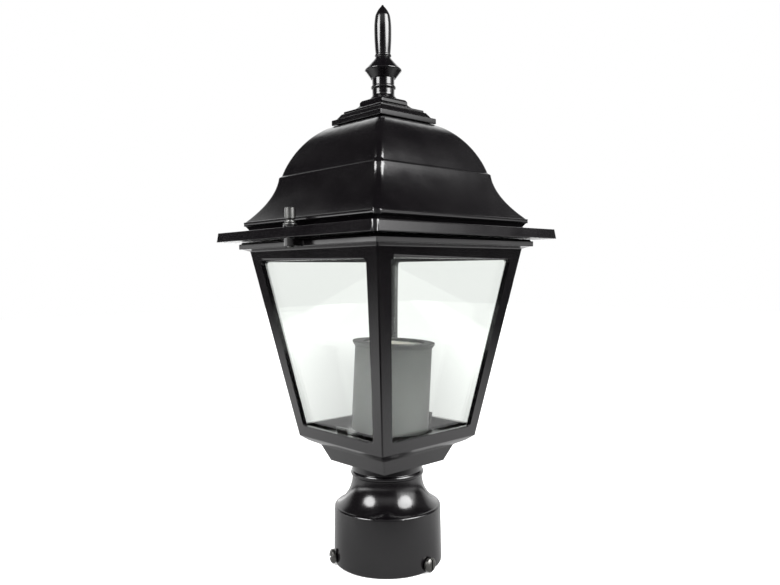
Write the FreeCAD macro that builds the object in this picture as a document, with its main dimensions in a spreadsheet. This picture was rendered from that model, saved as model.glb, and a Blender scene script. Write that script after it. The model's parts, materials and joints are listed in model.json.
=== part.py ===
import FreeCAD, Part
import math
import os
from types import SimpleNamespace

import Sketcher
from FreeCAD import Placement, Rotation, Vector

# Post-top street lantern: a post collar, a glazed case, a domed roof and a finial.
# The origin is on the lantern's axis at the collar's lower face, +Z is up, and the case's
# sides are parallel to X and Y. A "half" is half the side of a square, a "level" is a height.
os.makedirs("parts", exist_ok=True)

DIMENSIONS = {
    # Running gap between pieces that move apart, play between pieces that only rest together,
    # radial clearance round a screw or stud
    "running_gap": 0.3,
    "seat_play": 0.1,
    "thread_clearance": 0.05,
    "hole_clearance": 0.3,
    # Post collar: socket for a 60 mm post, swept shoulder, neck
    "post_socket_diameter": 61.0,
    "post_socket_depth": 33.0,
    "collar_diameter": 71.0,
    "collar_top_diameter": 70.0,
    "collar_edge_radius": 1.6,
    "collar_rim_level": 35.9,
    "neck_diameter": 46.2,
    "neck_wall": 5.0,
    "neck_bead_diameter": 48.4,
    "neck_bead_level": 58.3,
    "neck_bead_width": 3.6,
    "neck_bead_radius": 2.1,
    "shoulder_radius": 21.6,
    # Collar screws
    "collar_screw_level": 5.2,
    "collar_screw_diameter": 5.0,
    "collar_screw_head_diameter": 9.0,
    "collar_screw_head_height": 3.0,
    "collar_screw_head_edge_height": 1.8,
    "collar_screw_head_crown_radius": 5.9,
    "collar_screw_head_flat_radius": 2.5,
    "collar_screw_tip_chamfer": 0.3,
    "collar_screw_slack": 0.6,
    "collar_screw_first_angle": 3.0,
    "screw_slot_width": 1.1,
    "screw_slot_depth": 1.2,
    # Lantern frame
    "funnel_bottom_half": 26.5,
    "funnel_bottom_level": 65.0,
    "funnel_top_half": 31.1,
    "funnel_height": 10.6,
    "funnel_wall": 2.6,
    "underside_half": 36.9,
    "underside_height": 2.9,
    "case_bottom_half": 41.35,
    "case_foot_height": 3.5,
    "case_top_half": 63.45,
    "case_height": 122.1,
    "case_wall": 3.2,
    "case_edge_radius": 0.9,
    "floor_thickness": 3.0,
    "rim_overhang_width": 5.15,
    "rim_height": 4.6,
    "rim_draft_width": 1.4,
    "rim_step_width": 1.4,
    "lug_root_depth": 2.8,
    "rim_step_height": 1.2,
    "rim_ledge_width": 7.45,
    "corner_post_foot_width": 7.97,
    "corner_post_head_width": 9.6,
    "sill_height": 7.3,
    "top_bar_height": 6.9,
    "window_corner_radius": 2.0,
    # Glass panes and the clips that hold them
    "glass_thickness": 2.5,
    "glass_overlap_width": 1.6,
    "glass_top_overlap": 4.0,
    "clip_width": 10.0,
    "clip_thickness": 1.0,
    "clip_foot_length": 8.0,
    "clip_leg_height": 7.0,
    "clip_screw_diameter": 3.0,
    "clip_screw_head_diameter": 5.4,
    "clip_screw_head_height": 1.8,
    "clip_screw_length": 5.0,
    "top_clip_height": 11.0,
    "top_clip_setback_depth": 0.3,
    # Threaded nipple, its nuts and washer
    "nipple_diameter": 10.0,
    "nipple_bore": 7.0,
    "nipple_length": 24.0,
    "nipple_drop": 14.0,
    "nut_across_corners": 19.6,
    "nut_height": 5.0,
    "nipple_washer_diameter": 20.0,
    "nipple_washer_thickness": 1.5,
    # Lampholder: leaning bracket, ceramic body, screw shell, contact, sleeve
    "holder_offset": 2.07,
    "holder_lean": 3.06,
    "holder_lean_direction": 47.0,
    "bracket_sheet": 2.0,
    "bracket_width": 14.0,
    "bracket_span": 27.0,
    "bracket_height": 15.0,
    "bracket_flange": 6.5,
    "bracket_leg_start_height": 0.9,
    "holder_height": 43.0,
    "holder_diameter": 40.0,
    "holder_rim_diameter": 45.2,
    "holder_rim_height": 5.0,
    "holder_rim_slope_height": 2.5,
    "holder_foot_swell_width": 0.8,
    "holder_foot_height": 2.0,
    "holder_cavity_depth": 30.0,
    "lamp_thread_diameter": 26.6,
    "shell_thickness": 0.8,
    "shell_length": 27.0,
    "holder_screw_diameter": 3.0,
    "holder_screw_head_diameter": 5.0,
    "holder_screw_head_height": 2.0,
    "holder_screw_length": 8.0,
    "contact_thickness": 0.5,
    "contact_width": 6.0,
    "contact_length": 16.0,
    "contact_rise": 4.0,
    "sleeve_diameter": 49.0,
    "sleeve_wall": 1.5,
    "sleeve_rim_diameter": 52.4,
    "sleeve_rim_height": 1.2,
    "sleeve_flare_height": 2.6,
    "sleeve_lip_thickness": 1.5,
    "sleeve_mouth_diameter": 39.0,
    "sleeve_foot_clearance": 1.7,
    # Roof: eave slab, cove, lip, skirt, step, dome, crown
    "eave_half": 79.9,
    "eave_height": 6.0,
    "eave_draft_width": 0.8,
    "eave_rise": 1.6,
    "eave_shelf_width": 16.3,
    "cove_height": 2.7,
    "lip_overhang_width": 2.6,
    "lip_height": 2.5,
    "skirt_height": 29.0,
    "skirt_lean_width": 3.2,
    "skirt_foot_overhang_width": 0.4,
    "dome_base_half": 49.0,
    "dome_step_width": 1.4,
    "dome_step_height": 1.1,
    "dome_height": 32.6,
    "dome_taper_width": 9.1,
    "dome_round_width": 20.0,
    "dome_corner_radius": 4.2,
    "roof_wall": 3.0,
    "crown_base_half": 24.3,
    "crown_base_height": 3.5,
    "crown_slope_half": 22.4,
    "crown_slope_top_half": 19.6,
    "crown_slope_height": 4.0,
    "crown_middle_half": 18.6,
    "crown_middle_height": 1.5,
    "crown_shoulder_half": 15.0,
    "crown_shoulder_top_half": 11.6,
    "crown_shoulder_height": 3.2,
    "crown_top_half": 11.2,
    "crown_top_height": 2.4,
    "crown_cap_half": 10.1,
    "crown_cap_height": 1.4,
    "crown_bore": 17.0,
    "crown_roof_thickness": 4.5,
    # Finial and its fixing
    "finial_height": 61.9,
    "finial_base_radius": 9.5,
    "finial_base_height": 1.3,
    "finial_base_edge_width": 0.9,
    "finial_flare_level": 4.6,
    "finial_flare_radius": 3.6,
    "finial_waist_radius": 7.3,
    "finial_ring_level": 8.1,
    "finial_ring_height": 2.6,
    "finial_ring_curve_radius": 1.4,
    "finial_bulb_radius": 11.7,
    "finial_bulb_level": 19.2,
    "finial_bulb_edge_height": 1.4,
    "finial_bulb_edge_radius": 0.8,
    "finial_bulb_foot_radius": 8.1,
    "finial_bulb_drop": 5.3,
    "finial_bulb_top_radius": 5.9,
    "finial_bulb_rise": 7.0,
    "finial_collar_level": 28.9,
    "finial_collar_height": 1.8,
    "finial_collar_edge_radius": 1.0,
    "finial_collar_foot_height": 0.3,
    "finial_spear_radius": 5.65,
    "finial_spear_root_radius": 4.9,
    "finial_spear_widest_level": 45.0,
    "finial_spear_low_radius": 150.0,
    "finial_spear_high_radius": 50.0,
    "finial_point_height": 7.2,
    "finial_point_radius": 16.0,
    "finial_tip_radius": 0.8,
    "stud_diameter": 6.0,
    "stud_engagement": 12.0,
    "stud_drop": 11.0,
    "stud_nut_across_corners": 11.5,
    "stud_nut_height": 5.0,
    "stud_washer_diameter": 14.0,
    "stud_washer_thickness": 1.4,
    # Thumb screws that hold the roof to the frame
    "thumb_screw_inset": 4.9,
    "thumb_screw_diameter": 4.0,
    "thumb_head_diameter": 6.5,
    "thumb_head_height": 5.4,
    "thumb_head_chamfer": 0.65,
    "thumb_tip_chamfer": 0.3,
    "thumb_neck_height": 2.8,
    "thumb_flange_diameter": 6.4,
    "thumb_flange_thickness": 1.0,
    "thumb_washer_diameter": 8.0,
    "thumb_washer_thickness": 1.0,
    "thumb_boss_diameter": 8.4,
    "thumb_boss_rise": 0.6,
    "lug_radius": 3.8,
    "thumb_screw_tip": 0.8,
}

doc = FreeCAD.newDocument("PostTopLantern")
sheet = doc.addObject("Spreadsheet::Sheet", "Sizes")
for row, (alias, number) in enumerate(DIMENSIONS.items(), start=1):
    sheet.set(f"A{row}", alias)
    sheet.set(f"B{row}", str(number))
    sheet.setAlias(f"B{row}", alias)
doc.recompute()


class Size:
    """A size that carries its number and the sheet formula that gives it."""

    def __init__(self, number, formula):
        self.number = number
        self.formula = formula

    def __add__(self, other):
        other = as_size(other)
        return Size(self.number + other.number, f"({self.formula} + {other.formula})")

    def __sub__(self, other):
        other = as_size(other)
        return Size(self.number - other.number, f"({self.formula} - {other.formula})")

    def __mul__(self, other):
        other = as_size(other)
        return Size(self.number * other.number, f"({self.formula} * {other.formula})")

    def __truediv__(self, other):
        other = as_size(other)
        return Size(self.number / other.number, f"({self.formula} / {other.formula})")

    def __radd__(self, other):
        return as_size(other) + self

    def __rsub__(self, other):
        return as_size(other) - self

    def __rmul__(self, other):
        return as_size(other) * self

    def __neg__(self):
        return as_size(0) - self


def as_size(value):
    """A plain number as a size; a size stays itself."""
    if isinstance(value, Size):
        return value
    return Size(float(value), f"{float(value):.9f}")


def root(size):
    """Square root of a size."""
    return Size(math.sqrt(size.number), f"sqrt({size.formula})")


dim = SimpleNamespace(**{alias: Size(float(number), f"Sizes.{alias}") for alias, number in DIMENSIONS.items()})


# Building blocks

def new_body(label):
    """An empty body that will become one piece."""
    body = doc.addObject("PartDesign::Body", label)
    body.Label = label
    return body


def origin_feature(body, role):
    """One of the body's own origin planes or axes."""
    for feature in body.Origin.OriginFeatures:
        if feature.Role == role:
            return feature
    raise ValueError(role)


def new_sketch(body, name, role="XY_Plane", offset=None):
    """A sketch on one of the body's origin planes, moved along the plane's normal."""
    sketch = body.newObject("Sketcher::SketchObject", name)
    sketch.AttachmentSupport = [(origin_feature(body, role), "")]
    sketch.MapMode = "FlatFace"
    if offset is not None:
        sketch.setExpression("AttachmentOffset.Base.z", as_size(offset).formula)
    return sketch


def pin(sketch, edge, point, x, y):
    """Hold a sketch point at (x, y), each bound to its size."""
    for axis, kind, size in ((-2, "DistanceX", as_size(x)), (-1, "DistanceY", as_size(y))):
        if abs(size.number) < 1e-9:
            sketch.addConstraint(Sketcher.Constraint("PointOnObject", edge, point, axis))
        else:
            index = sketch.addConstraint(Sketcher.Constraint(kind, -1, 1, edge, point, size.number))
            sketch.setExpression(f"Constraints[{index}]", size.formula)


def arc_between(start, end, radius, leftward):
    """The shorter arc from start to end, turning left or right."""
    chord = end - start
    middle = (start + end) * 0.5
    rise = math.sqrt(max(radius * radius - chord.Length * chord.Length / 4, 0.0))
    normal = Vector(-chord.y, chord.x, 0).normalize()
    center = middle + normal * (rise if leftward else -rise)
    first, last = (start, end) if leftward else (end, start)
    angles = [math.atan2(point.y - center.y, point.x - center.x) for point in (first, last)]
    if angles[1] < angles[0]:
        angles[1] += 2 * math.pi
    return Part.ArcOfCircle(Part.Circle(center, Vector(0, 0, 1), radius), *angles)


def outline(sketch, corners):
    """A closed outline through corners (x, y). A third value makes the edge to the next corner an
    arc of that radius, which turns left if it is positive and right if it is negative."""
    points = [Vector(as_size(corner[0]).number, as_size(corner[1]).number, 0) for corner in corners]
    edges = []
    for index, corner in enumerate(corners):
        start = points[index]
        end = points[(index + 1) % len(points)]
        if len(corner) == 2:
            edges.append((sketch.addGeometry(Part.LineSegment(start, end)), 1, 2))
            continue
        leftward = corner[2].number > 0
        radius = corner[2] if leftward else -corner[2]
        edge = sketch.addGeometry(arc_between(start, end, radius.number, leftward))
        edges.append((edge, 1, 2) if leftward else (edge, 2, 1))
        constraint = sketch.addConstraint(Sketcher.Constraint("Radius", edge, radius.number))
        sketch.setExpression(f"Constraints[{constraint}]", radius.formula)
    for index, (edge, first, last) in enumerate(edges):
        following, following_first, _ = edges[(index + 1) % len(edges)]
        sketch.addConstraint(Sketcher.Constraint("Coincident", edge, last, following, following_first))
    for (edge, first, last), corner in zip(edges, corners):
        pin(sketch, edge, first, corner[0], corner[1])


def circle(sketch, x, y, radius):
    """A circle in a sketch, its centre and radius bound to sizes."""
    center = Vector(as_size(x).number, as_size(y).number, 0)
    edge = sketch.addGeometry(Part.Circle(center, Vector(0, 0, 1), radius.number))
    pin(sketch, edge, 3, x, y)
    constraint = sketch.addConstraint(Sketcher.Constraint("Radius", edge, radius.number))
    sketch.setExpression(f"Constraints[{constraint}]", radius.formula)


def square(sketch, half, corner_radius=None):
    """A square centred on the origin, with round corners if a radius is given."""
    if corner_radius is None:
        outline(sketch, [(half, -half), (half, half), (-half, half), (-half, -half)])
        return
    flat = half - corner_radius
    outline(sketch, [
        (half, -flat), (half, flat, corner_radius),
        (flat, half), (-flat, half, corner_radius),
        (-half, flat), (-half, -flat, corner_radius),
        (-flat, -half), (flat, -half, corner_radius),
    ])


def feature(body, kind, name, sketch, **sizes):
    """A PartDesign feature on a sketch; sizes are bound, other values are set as they are."""
    made = body.newObject(f"PartDesign::{kind}", name)
    made.Profile = sketch
    for prop, value in sizes.items():
        if isinstance(value, Size):
            made.setExpression(prop, value.formula)
        else:
            setattr(made, prop, value)
    sketch.Visibility = False
    return made


def square_loft(body, name, sections, kind="AdditiveLoft", ruled=True, corner_radius=None):
    """A loft through centred squares, each given as (half, level)."""
    sketches = []
    for number, (half, level) in enumerate(sections, start=1):
        sketch = new_sketch(body, f"{name}_{number}", offset=level)
        square(sketch, half, corner_radius)
        sketches.append(sketch)
    return feature(body, kind, name, sketches[0], Sections=sketches[1:], Ruled=ruled)


def revolved(body, name, corners, kind="Revolution"):
    """A full turn of an outline (radius, level) about the vertical axis."""
    sketch = new_sketch(body, f"{name}_profile", "XZ_Plane")
    outline(sketch, corners)
    return feature(body, kind, name, sketch, ReferenceAxis=(sketch, ["V_Axis"]), Angle=360.0)


def polar(body, name, original, count):
    """Copies of a feature, evenly spaced about the vertical axis."""
    pattern = body.newObject("PartDesign::PolarPattern", name)
    pattern.Originals = [original]
    pattern.Axis = (origin_feature(body, "Z_Axis"), [""])
    pattern.Angle = 360.0
    pattern.Occurrences = count
    body.Tip = pattern
    return pattern


def part_object(kind, name, **sizes):
    """A Part primitive or boolean with its sizes bound."""
    made = doc.addObject(f"Part::{kind}", name)
    for prop, value in sizes.items():
        if isinstance(value, Size):
            made.setExpression(prop, value.formula)
        else:
            setattr(made, prop, value)
    return made


def cut(label, base, tool):
    """A piece made as one solid less another."""
    made = part_object("Cut", label, Base=base, Tool=tool)
    made.Label = label
    return made


def joined(label, shapes):
    """Several solids as one object."""
    made = part_object("MultiFuse", label, Shapes=shapes)
    made.Label = label
    return made


def at(x=0.0, y=0.0, z=0.0, rotation=None):
    """A placement from sizes or numbers."""
    place = Vector(as_size(x).number, as_size(y).number, as_size(z).number)
    return Placement(place, rotation or Rotation())


def turned(degrees):
    """A rotation about the vertical axis."""
    return Rotation(Vector(0, 0, 1), degrees)


pieces = []


def keep(piece, placement=None):
    """Add a finished piece to the lantern, at its place."""
    if placement is not None:
        piece.Placement = placement
    pieces.append(piece)
    return piece


COLLAR_SCREWS = 3
SIDES = (("front", 0.0), ("right", 90.0), ("back", 180.0), ("left", 270.0))

# Levels and halves that several pieces share
funnel_top_level = dim.funnel_bottom_level + dim.funnel_height
underside_level = funnel_top_level + dim.underside_height
case_bottom_level = underside_level + dim.case_foot_height
floor_level = case_bottom_level + dim.floor_thickness
case_top_level = case_bottom_level + dim.case_height
rim_bottom_level = case_top_level + dim.rim_draft_width
rim_top_level = rim_bottom_level + dim.rim_height
eave_bottom_level = rim_top_level + dim.running_gap
eave_top_level = eave_bottom_level + dim.eave_height
cove_level = eave_top_level + dim.eave_rise
lip_level = cove_level + dim.cove_height
skirt_level = lip_level + dim.lip_height
dome_level = skirt_level + dim.skirt_height
crown_level = dome_level + dim.dome_step_height + dim.dome_height
case_slope = (dim.case_top_half - dim.case_bottom_half) / dim.case_height
slope_length = root(1 + case_slope * case_slope)
wall_across = dim.case_wall * slope_length


rim_half = dim.case_top_half + dim.rim_overhang_width
rim_opening_half = dim.case_top_half - dim.rim_ledge_width
thumb_screw_distance = dim.eave_half - dim.thumb_screw_inset
cove_half = dim.eave_half - dim.eave_shelf_width
lip_half = cove_half + dim.lip_overhang_width


def case_half(level):
    """Half the side of the leaning case, measured outside, at a level."""
    return dim.case_bottom_half + case_slope * (level - case_bottom_level)


def pane_inner_half(level):
    """Distance from the axis to the inner face of the glass at a level."""
    return case_half(level) - wall_across - (dim.seat_play + dim.glass_thickness) * slope_length


window_bottom_level = case_bottom_level + dim.sill_height
window_top_level = case_top_level - dim.top_bar_height
window_bottom_half = case_half(window_bottom_level) - dim.corner_post_foot_width
window_top_half = case_half(window_top_level) - dim.corner_post_head_width


# Post collar

def make_post_collar():
    body = new_body("post_collar")
    radius = dim.collar_diameter / 2
    top_radius = dim.collar_top_diameter / 2
    socket = dim.post_socket_diameter / 2
    edge = dim.collar_edge_radius
    neck = dim.neck_diameter / 2
    neck_bore = neck - dim.neck_wall
    bead = dim.neck_bead_diameter / 2
    hole = dim.nipple_diameter / 2 + dim.hole_clearance
    sweep_center = neck + dim.shoulder_radius
    crest = top_radius - edge
    run = sweep_center - crest
    crest_level = dim.collar_rim_level + edge
    shoulder_top = crest_level + root(dim.shoulder_radius * dim.shoulder_radius - run * run)
    bead_bottom = dim.neck_bead_level - dim.neck_bead_width / 2
    bead_top = dim.neck_bead_level + dim.neck_bead_width / 2
    revolved(body, "collar_turning", [
        (socket, 0),
        (radius - edge, 0, edge),
        (radius, edge),
        (top_radius, dim.collar_rim_level, edge),
        (crest, crest_level, -dim.shoulder_radius),
        (neck, shoulder_top),
        (neck, bead_bottom, dim.neck_bead_radius),
        (neck, bead_top),
        (neck, case_bottom_level),
        (hole, case_bottom_level),
        (hole, case_bottom_level - dim.neck_wall),
        (neck_bore, case_bottom_level - dim.neck_wall),
        (neck_bore, dim.post_socket_depth),
        (socket, dim.post_socket_depth),
    ])
    sketch = new_sketch(body, "screw_hole_sketch", "YZ_Plane")
    circle(sketch, 0, dim.collar_screw_level, dim.collar_screw_diameter / 2 + dim.thread_clearance)
    hole_cut = feature(body, "Pocket", "screw_hole", sketch, Length=dim.collar_diameter, Reversed=True)
    polar(body, "screw_holes", hole_cut, COLLAR_SCREWS)
    return keep(body, at(rotation=turned(dim.collar_screw_first_angle.number)))


def make_collar_screws():
    """Each screw's axis runs out from the lantern's axis; its tip is level with the socket's wall."""
    tip = dim.post_socket_diameter / 2 + dim.seat_play
    seat = dim.collar_diameter / 2 + dim.collar_screw_slack
    head = dim.collar_screw_head_diameter / 2
    shank = dim.collar_screw_diameter / 2
    top = seat + dim.collar_screw_head_height
    chamfer = dim.collar_screw_tip_chamfer
    for number in range(COLLAR_SCREWS):
        body = new_body(f"collar_screw_{number + 1}")
        revolved(body, f"collar_screw_turning_{number + 1}", [
            (0, tip),
            (shank - chamfer, tip),
            (shank, tip + chamfer),
            (shank, seat),
            (head, seat),
            (head, seat + dim.collar_screw_head_edge_height, dim.collar_screw_head_crown_radius),
            (dim.collar_screw_head_flat_radius, top),
            (0, top),
        ])
        slot = new_sketch(body, f"collar_screw_slot_sketch_{number + 1}", offset=top)
        half_slot = dim.screw_slot_width / 2
        outline(slot, [(head, -half_slot), (head, half_slot), (-head, half_slot), (-head, -half_slot)])
        feature(body, "Pocket", f"collar_screw_slot_{number + 1}", slot, Length=dim.screw_slot_depth)
        angle = math.radians(dim.collar_screw_first_angle.number + 360 * number / COLLAR_SCREWS)
        outward = Rotation(Vector(0, 0, 1), Vector(math.cos(angle), math.sin(angle), 0))
        keep(body, at(z=dim.collar_screw_level, rotation=outward))


# Lantern frame

def make_frame():
    body = new_body("lantern_frame")
    square_loft(body, "foot", [
        (dim.funnel_bottom_half, dim.funnel_bottom_level), (dim.funnel_top_half, funnel_top_level),
        (dim.underside_half, underside_level), (dim.case_bottom_half, case_bottom_level)])
    case = square_loft(body, "case", [
        (dim.case_bottom_half, case_bottom_level), (dim.case_top_half, case_top_level)])
    doc.recompute()
    round_leaning_edges(body, case)
    square_loft(body, "rim_cove", [
        (dim.case_top_half, case_top_level), (rim_half - dim.rim_draft_width, rim_bottom_level)])
    step_level = rim_top_level - dim.rim_step_height
    square_loft(body, "rim", [
        (rim_half, rim_bottom_level), (rim_half, step_level)])
    square_loft(body, "rim_top", [
        (rim_half - dim.rim_step_width, step_level), (rim_half - dim.rim_step_width, rim_top_level)])
    lug = new_sketch(body, "lug_sketch", offset=rim_bottom_level)
    reach = thumb_screw_distance
    root_line = rim_half - dim.lug_root_depth
    outline(lug, [
        (dim.lug_radius, -reach), (dim.lug_radius, -root_line), (-dim.lug_radius, -root_line),
        (-dim.lug_radius, -reach, dim.lug_radius), (0, -reach - dim.lug_radius, dim.lug_radius)])
    lug_pad = feature(body, "Pad", "lug", lug, Length=rim_top_level - rim_bottom_level)
    polar(body, "lugs", lug_pad, 2)

    # Hollows: the case above its floor, the rim's opening, the funnel below the floor
    square_loft(body, "case_hollow", [
        (case_half(floor_level) - wall_across, floor_level),
        (dim.case_top_half - wall_across, case_top_level)], kind="SubtractiveLoft")
    square_loft(body, "rim_opening", [
        (rim_opening_half, case_top_level), (rim_opening_half, rim_top_level)],
        kind="SubtractiveLoft")
    square_loft(body, "funnel_hollow", [
        (dim.funnel_bottom_half - dim.funnel_wall, dim.funnel_bottom_level),
        (dim.funnel_top_half - dim.funnel_wall, funnel_top_level),
        (dim.funnel_top_half - dim.funnel_wall, case_bottom_level)], kind="SubtractiveLoft")

    # Four windows, cut level through the leaning walls
    window = new_sketch(body, "window_sketch", "XZ_Plane")
    window_bottom = window_bottom_level
    window_top = window_top_level
    low = window_bottom_half
    high = window_top_half
    radius = dim.window_corner_radius
    lean = (high - low) / (window_top - window_bottom)
    stretch = root(1 + lean * lean)
    low_setback = radius * (stretch + lean)
    high_setback = radius * (stretch - lean)
    outline(window, [
        (-(low - high_setback), window_bottom),
        (low - high_setback, window_bottom, radius),
        (low + high_setback * lean / stretch, window_bottom + high_setback / stretch),
        (high - low_setback * lean / stretch, window_top - low_setback / stretch, radius),
        (high - low_setback, window_top),
        (-(high - low_setback), window_top, radius),
        (-(high - low_setback * lean / stretch), window_top - low_setback / stretch),
        (-(low + high_setback * lean / stretch), window_bottom + high_setback / stretch, radius),
    ])
    window_cut = feature(body, "Pocket", "window", window, Type="ThroughAll")
    polar(body, "windows", window_cut, 4)

    # Holes: nipple, bottom clip screws, top clip screws, thumb screws
    nipple = new_sketch(body, "nipple_hole_sketch", offset=floor_level)
    circle(nipple, 0, 0, dim.nipple_diameter / 2 + dim.hole_clearance)
    feature(body, "Pocket", "nipple_hole", nipple, Length=dim.floor_thickness)
    screw_hole = dim.clip_screw_diameter / 2 + dim.thread_clearance
    clip = new_sketch(body, "bottom_clip_hole_sketch", offset=floor_level)
    circle(clip, 0, -bottom_clip_screw_place, screw_hole)
    circle(clip, 0, bottom_clip_screw_place, screw_hole)
    feature(body, "Pocket", "bottom_clip_holes", clip, Length=dim.clip_screw_length)
    top_clip = new_sketch(body, "top_clip_hole_sketch", "XZ_Plane", offset=rim_opening_half)
    circle(top_clip, 0, top_clip_screw_level, screw_hole)
    top_clip_cut = feature(
        body, "Pocket", "top_clip_hole", top_clip, Length=dim.clip_screw_length, Reversed=True)
    polar(body, "top_clip_holes", top_clip_cut, 4)
    thumb = new_sketch(body, "thumb_hole_sketch", offset=rim_top_level)
    for side in (-1, 1):
        circle(thumb, 0, side * thumb_screw_distance, dim.thumb_screw_diameter / 2 + dim.thread_clearance)
    feature(body, "Pocket", "thumb_holes", thumb, Length=rim_top_level - rim_bottom_level)
    return keep(body)


def round_leaning_edges(body, case):
    """Round the case's four corner edges, which climb the whole case."""
    climbing = []
    for index, edge in enumerate(case.Shape.Edges, start=1):
        low, high = sorted(vertex.Point.z for vertex in edge.Vertexes)
        if high - low > (dim.case_height - dim.case_wall).number:
            climbing.append(f"Edge{index}")
    fillet = body.newObject("PartDesign::Fillet", "case_edges")
    fillet.Base = (case, climbing)
    fillet.setExpression("Radius", dim.case_edge_radius.formula)
    doc.recompute()


# Glass panes and clips

bottom_clip_face = pane_inner_half(floor_level + dim.clip_thickness) - dim.seat_play
bottom_clip_screw_place = bottom_clip_face - dim.clip_thickness - dim.clip_foot_length / 2
top_clip_screw_level = rim_top_level - dim.clip_screw_head_diameter / 2 - dim.running_gap
top_clip_top_level = rim_top_level - dim.top_clip_setback_depth


def make_panes():
    """Each pane is drawn flat and stands leaning against the inside of its window."""
    lean_angle = math.degrees(math.atan(case_slope.number))
    bottom = floor_level + dim.running_gap
    window_lean = (window_top_half - window_bottom_half) / (window_top_level - window_bottom_level)
    low = window_bottom_half + dim.glass_overlap_width - window_lean * (window_bottom_level - bottom)
    height = window_top_level + dim.glass_top_overlap - bottom
    high = low + window_lean * height
    outer = case_half(bottom) - wall_across - dim.seat_play * slope_length
    for side, turn in SIDES:
        body = new_body(f"glass_pane_{side}")
        sketch = new_sketch(body, f"pane_sketch_{side}", "XZ_Plane")
        length = height * slope_length
        outline(sketch, [(-low, 0), (low, 0), (high, length), (-high, length)])
        feature(body, "Pad", f"pane_{side}", sketch, Length=dim.glass_thickness, Reversed=True)
        leaning = Rotation(Vector(1, 0, 0), lean_angle)
        placed = Placement(Vector(0, 0, 0), turned(turn)) * at(y=-outer, z=bottom, rotation=leaning)
        keep(body, placed)


def make_bottom_clips():
    """A bent strap: the foot is screwed to the floor, the leg leans with the glass."""
    for side, turn in SIDES[0::2]:
        body = new_body(f"bottom_clip_{side}")
        sketch = new_sketch(body, f"bottom_clip_sketch_{side}", "YZ_Plane", offset=-dim.clip_width / 2)
        thick = dim.clip_thickness
        face = bottom_clip_face
        lean = case_slope * dim.clip_leg_height
        top = floor_level + thick + dim.clip_leg_height
        across = thick * slope_length
        outline(sketch, [
            (-(face - across - dim.clip_foot_length), floor_level),
            (-(face - across - dim.clip_foot_length), floor_level + thick),
            (-(face - across), floor_level + thick),
            (-(face - across + lean), top),
            (-(face + lean), top),
            (-(face - case_slope * thick), floor_level),
        ])
        feature(body, "Pad", f"bottom_clip_strap_{side}", sketch, Length=dim.clip_width)
        hole = new_sketch(body, f"bottom_clip_hole_{side}", offset=floor_level + thick)
        circle(hole, 0, -bottom_clip_screw_place, dim.clip_screw_diameter / 2 + dim.seat_play)
        feature(body, "Pocket", f"bottom_clip_drilling_{side}", hole, Length=thick)
        keep(body, at(rotation=turned(turn)))


def make_top_clips():
    """A flat strap on the rim's inner face that hangs down behind the top of the glass."""
    for side, turn in SIDES:
        body = new_body(f"top_clip_{side}")
        sketch = new_sketch(body, f"top_clip_sketch_{side}", "XZ_Plane", offset=rim_opening_half)
        half = dim.clip_width / 2
        bottom = top_clip_top_level - dim.top_clip_height
        top = top_clip_top_level
        outline(sketch, [(-half, bottom), (half, bottom), (half, top), (-half, top)])
        circle(sketch, 0, top_clip_screw_level, dim.clip_screw_diameter / 2 + dim.seat_play)
        feature(body, "Pad", f"top_clip_strap_{side}", sketch, Length=dim.clip_thickness, Reversed=True)
        keep(body, at(rotation=turned(turn)))


def pan_screw(name, diameter, head_diameter, head_height, length):
    """A pan-head screw along Z: the head stands on level zero, the shank hangs below it."""
    head = head_diameter / 2
    body = new_body(name)
    revolved(body, f"{name}_turning", [
        (0, -length), (diameter / 2, -length), (diameter / 2, 0), (head, 0),
        (head, head_height / 2, head), (head / 2, head_height), (0, head_height)])
    return body


def make_clip_screws():
    """Six screws of one size, kept as one group of separate solids."""
    grip = dim.clip_screw_length
    sizes = (dim.clip_screw_diameter, dim.clip_screw_head_diameter, dim.clip_screw_head_height, grip)
    screws = []
    for side, turn in SIDES[0::2]:
        screw = pan_screw(f"bottom_clip_screw_{side}", *sizes)
        place = at(y=-bottom_clip_screw_place, z=floor_level + dim.clip_thickness)
        screw.Placement = Placement(Vector(0, 0, 0), turned(turn)) * place
        screws.append(screw)
    for side, turn in SIDES:
        screw = pan_screw(f"top_clip_screw_{side}", *sizes)
        inward = Rotation(Vector(0, 0, 1), Vector(0, 1, 0))
        place = at(y=-(rim_opening_half - dim.clip_thickness), z=top_clip_screw_level, rotation=inward)
        screw.Placement = Placement(Vector(0, 0, 0), turned(turn)) * place
        screws.append(screw)
    keep(group("clip_screws", screws))


def group(label, members):
    """Separate solids that are kept together as one piece."""
    made = doc.addObject("Part::Compound", label)
    made.Label = label
    made.Links = members
    return made


# Nipple that clamps the frame to the collar, with its nuts and washer

nipple_bottom = case_bottom_level - dim.nipple_drop
web_top_level = floor_level + dim.bracket_sheet


def ring(label, outer, inner, height, level):
    """A flat ring or tube on the lantern's axis."""
    body = part_object("Cylinder", f"{label}_outside", Radius=outer, Height=height)
    bore = part_object("Cylinder", f"{label}_bore", Radius=inner, Height=height)
    return keep(cut(label, body, bore), at(z=level))


def hex_nut(label, corner_radius, hole, height, level):
    """A hexagon nut on the lantern's axis."""
    body = part_object("Prism", f"{label}_hexagon", Polygon=6, Circumradius=corner_radius, Height=height)
    bore = part_object("Cylinder", f"{label}_bore", Radius=hole, Height=height)
    return keep(cut(label, body, bore), at(z=level))


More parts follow.
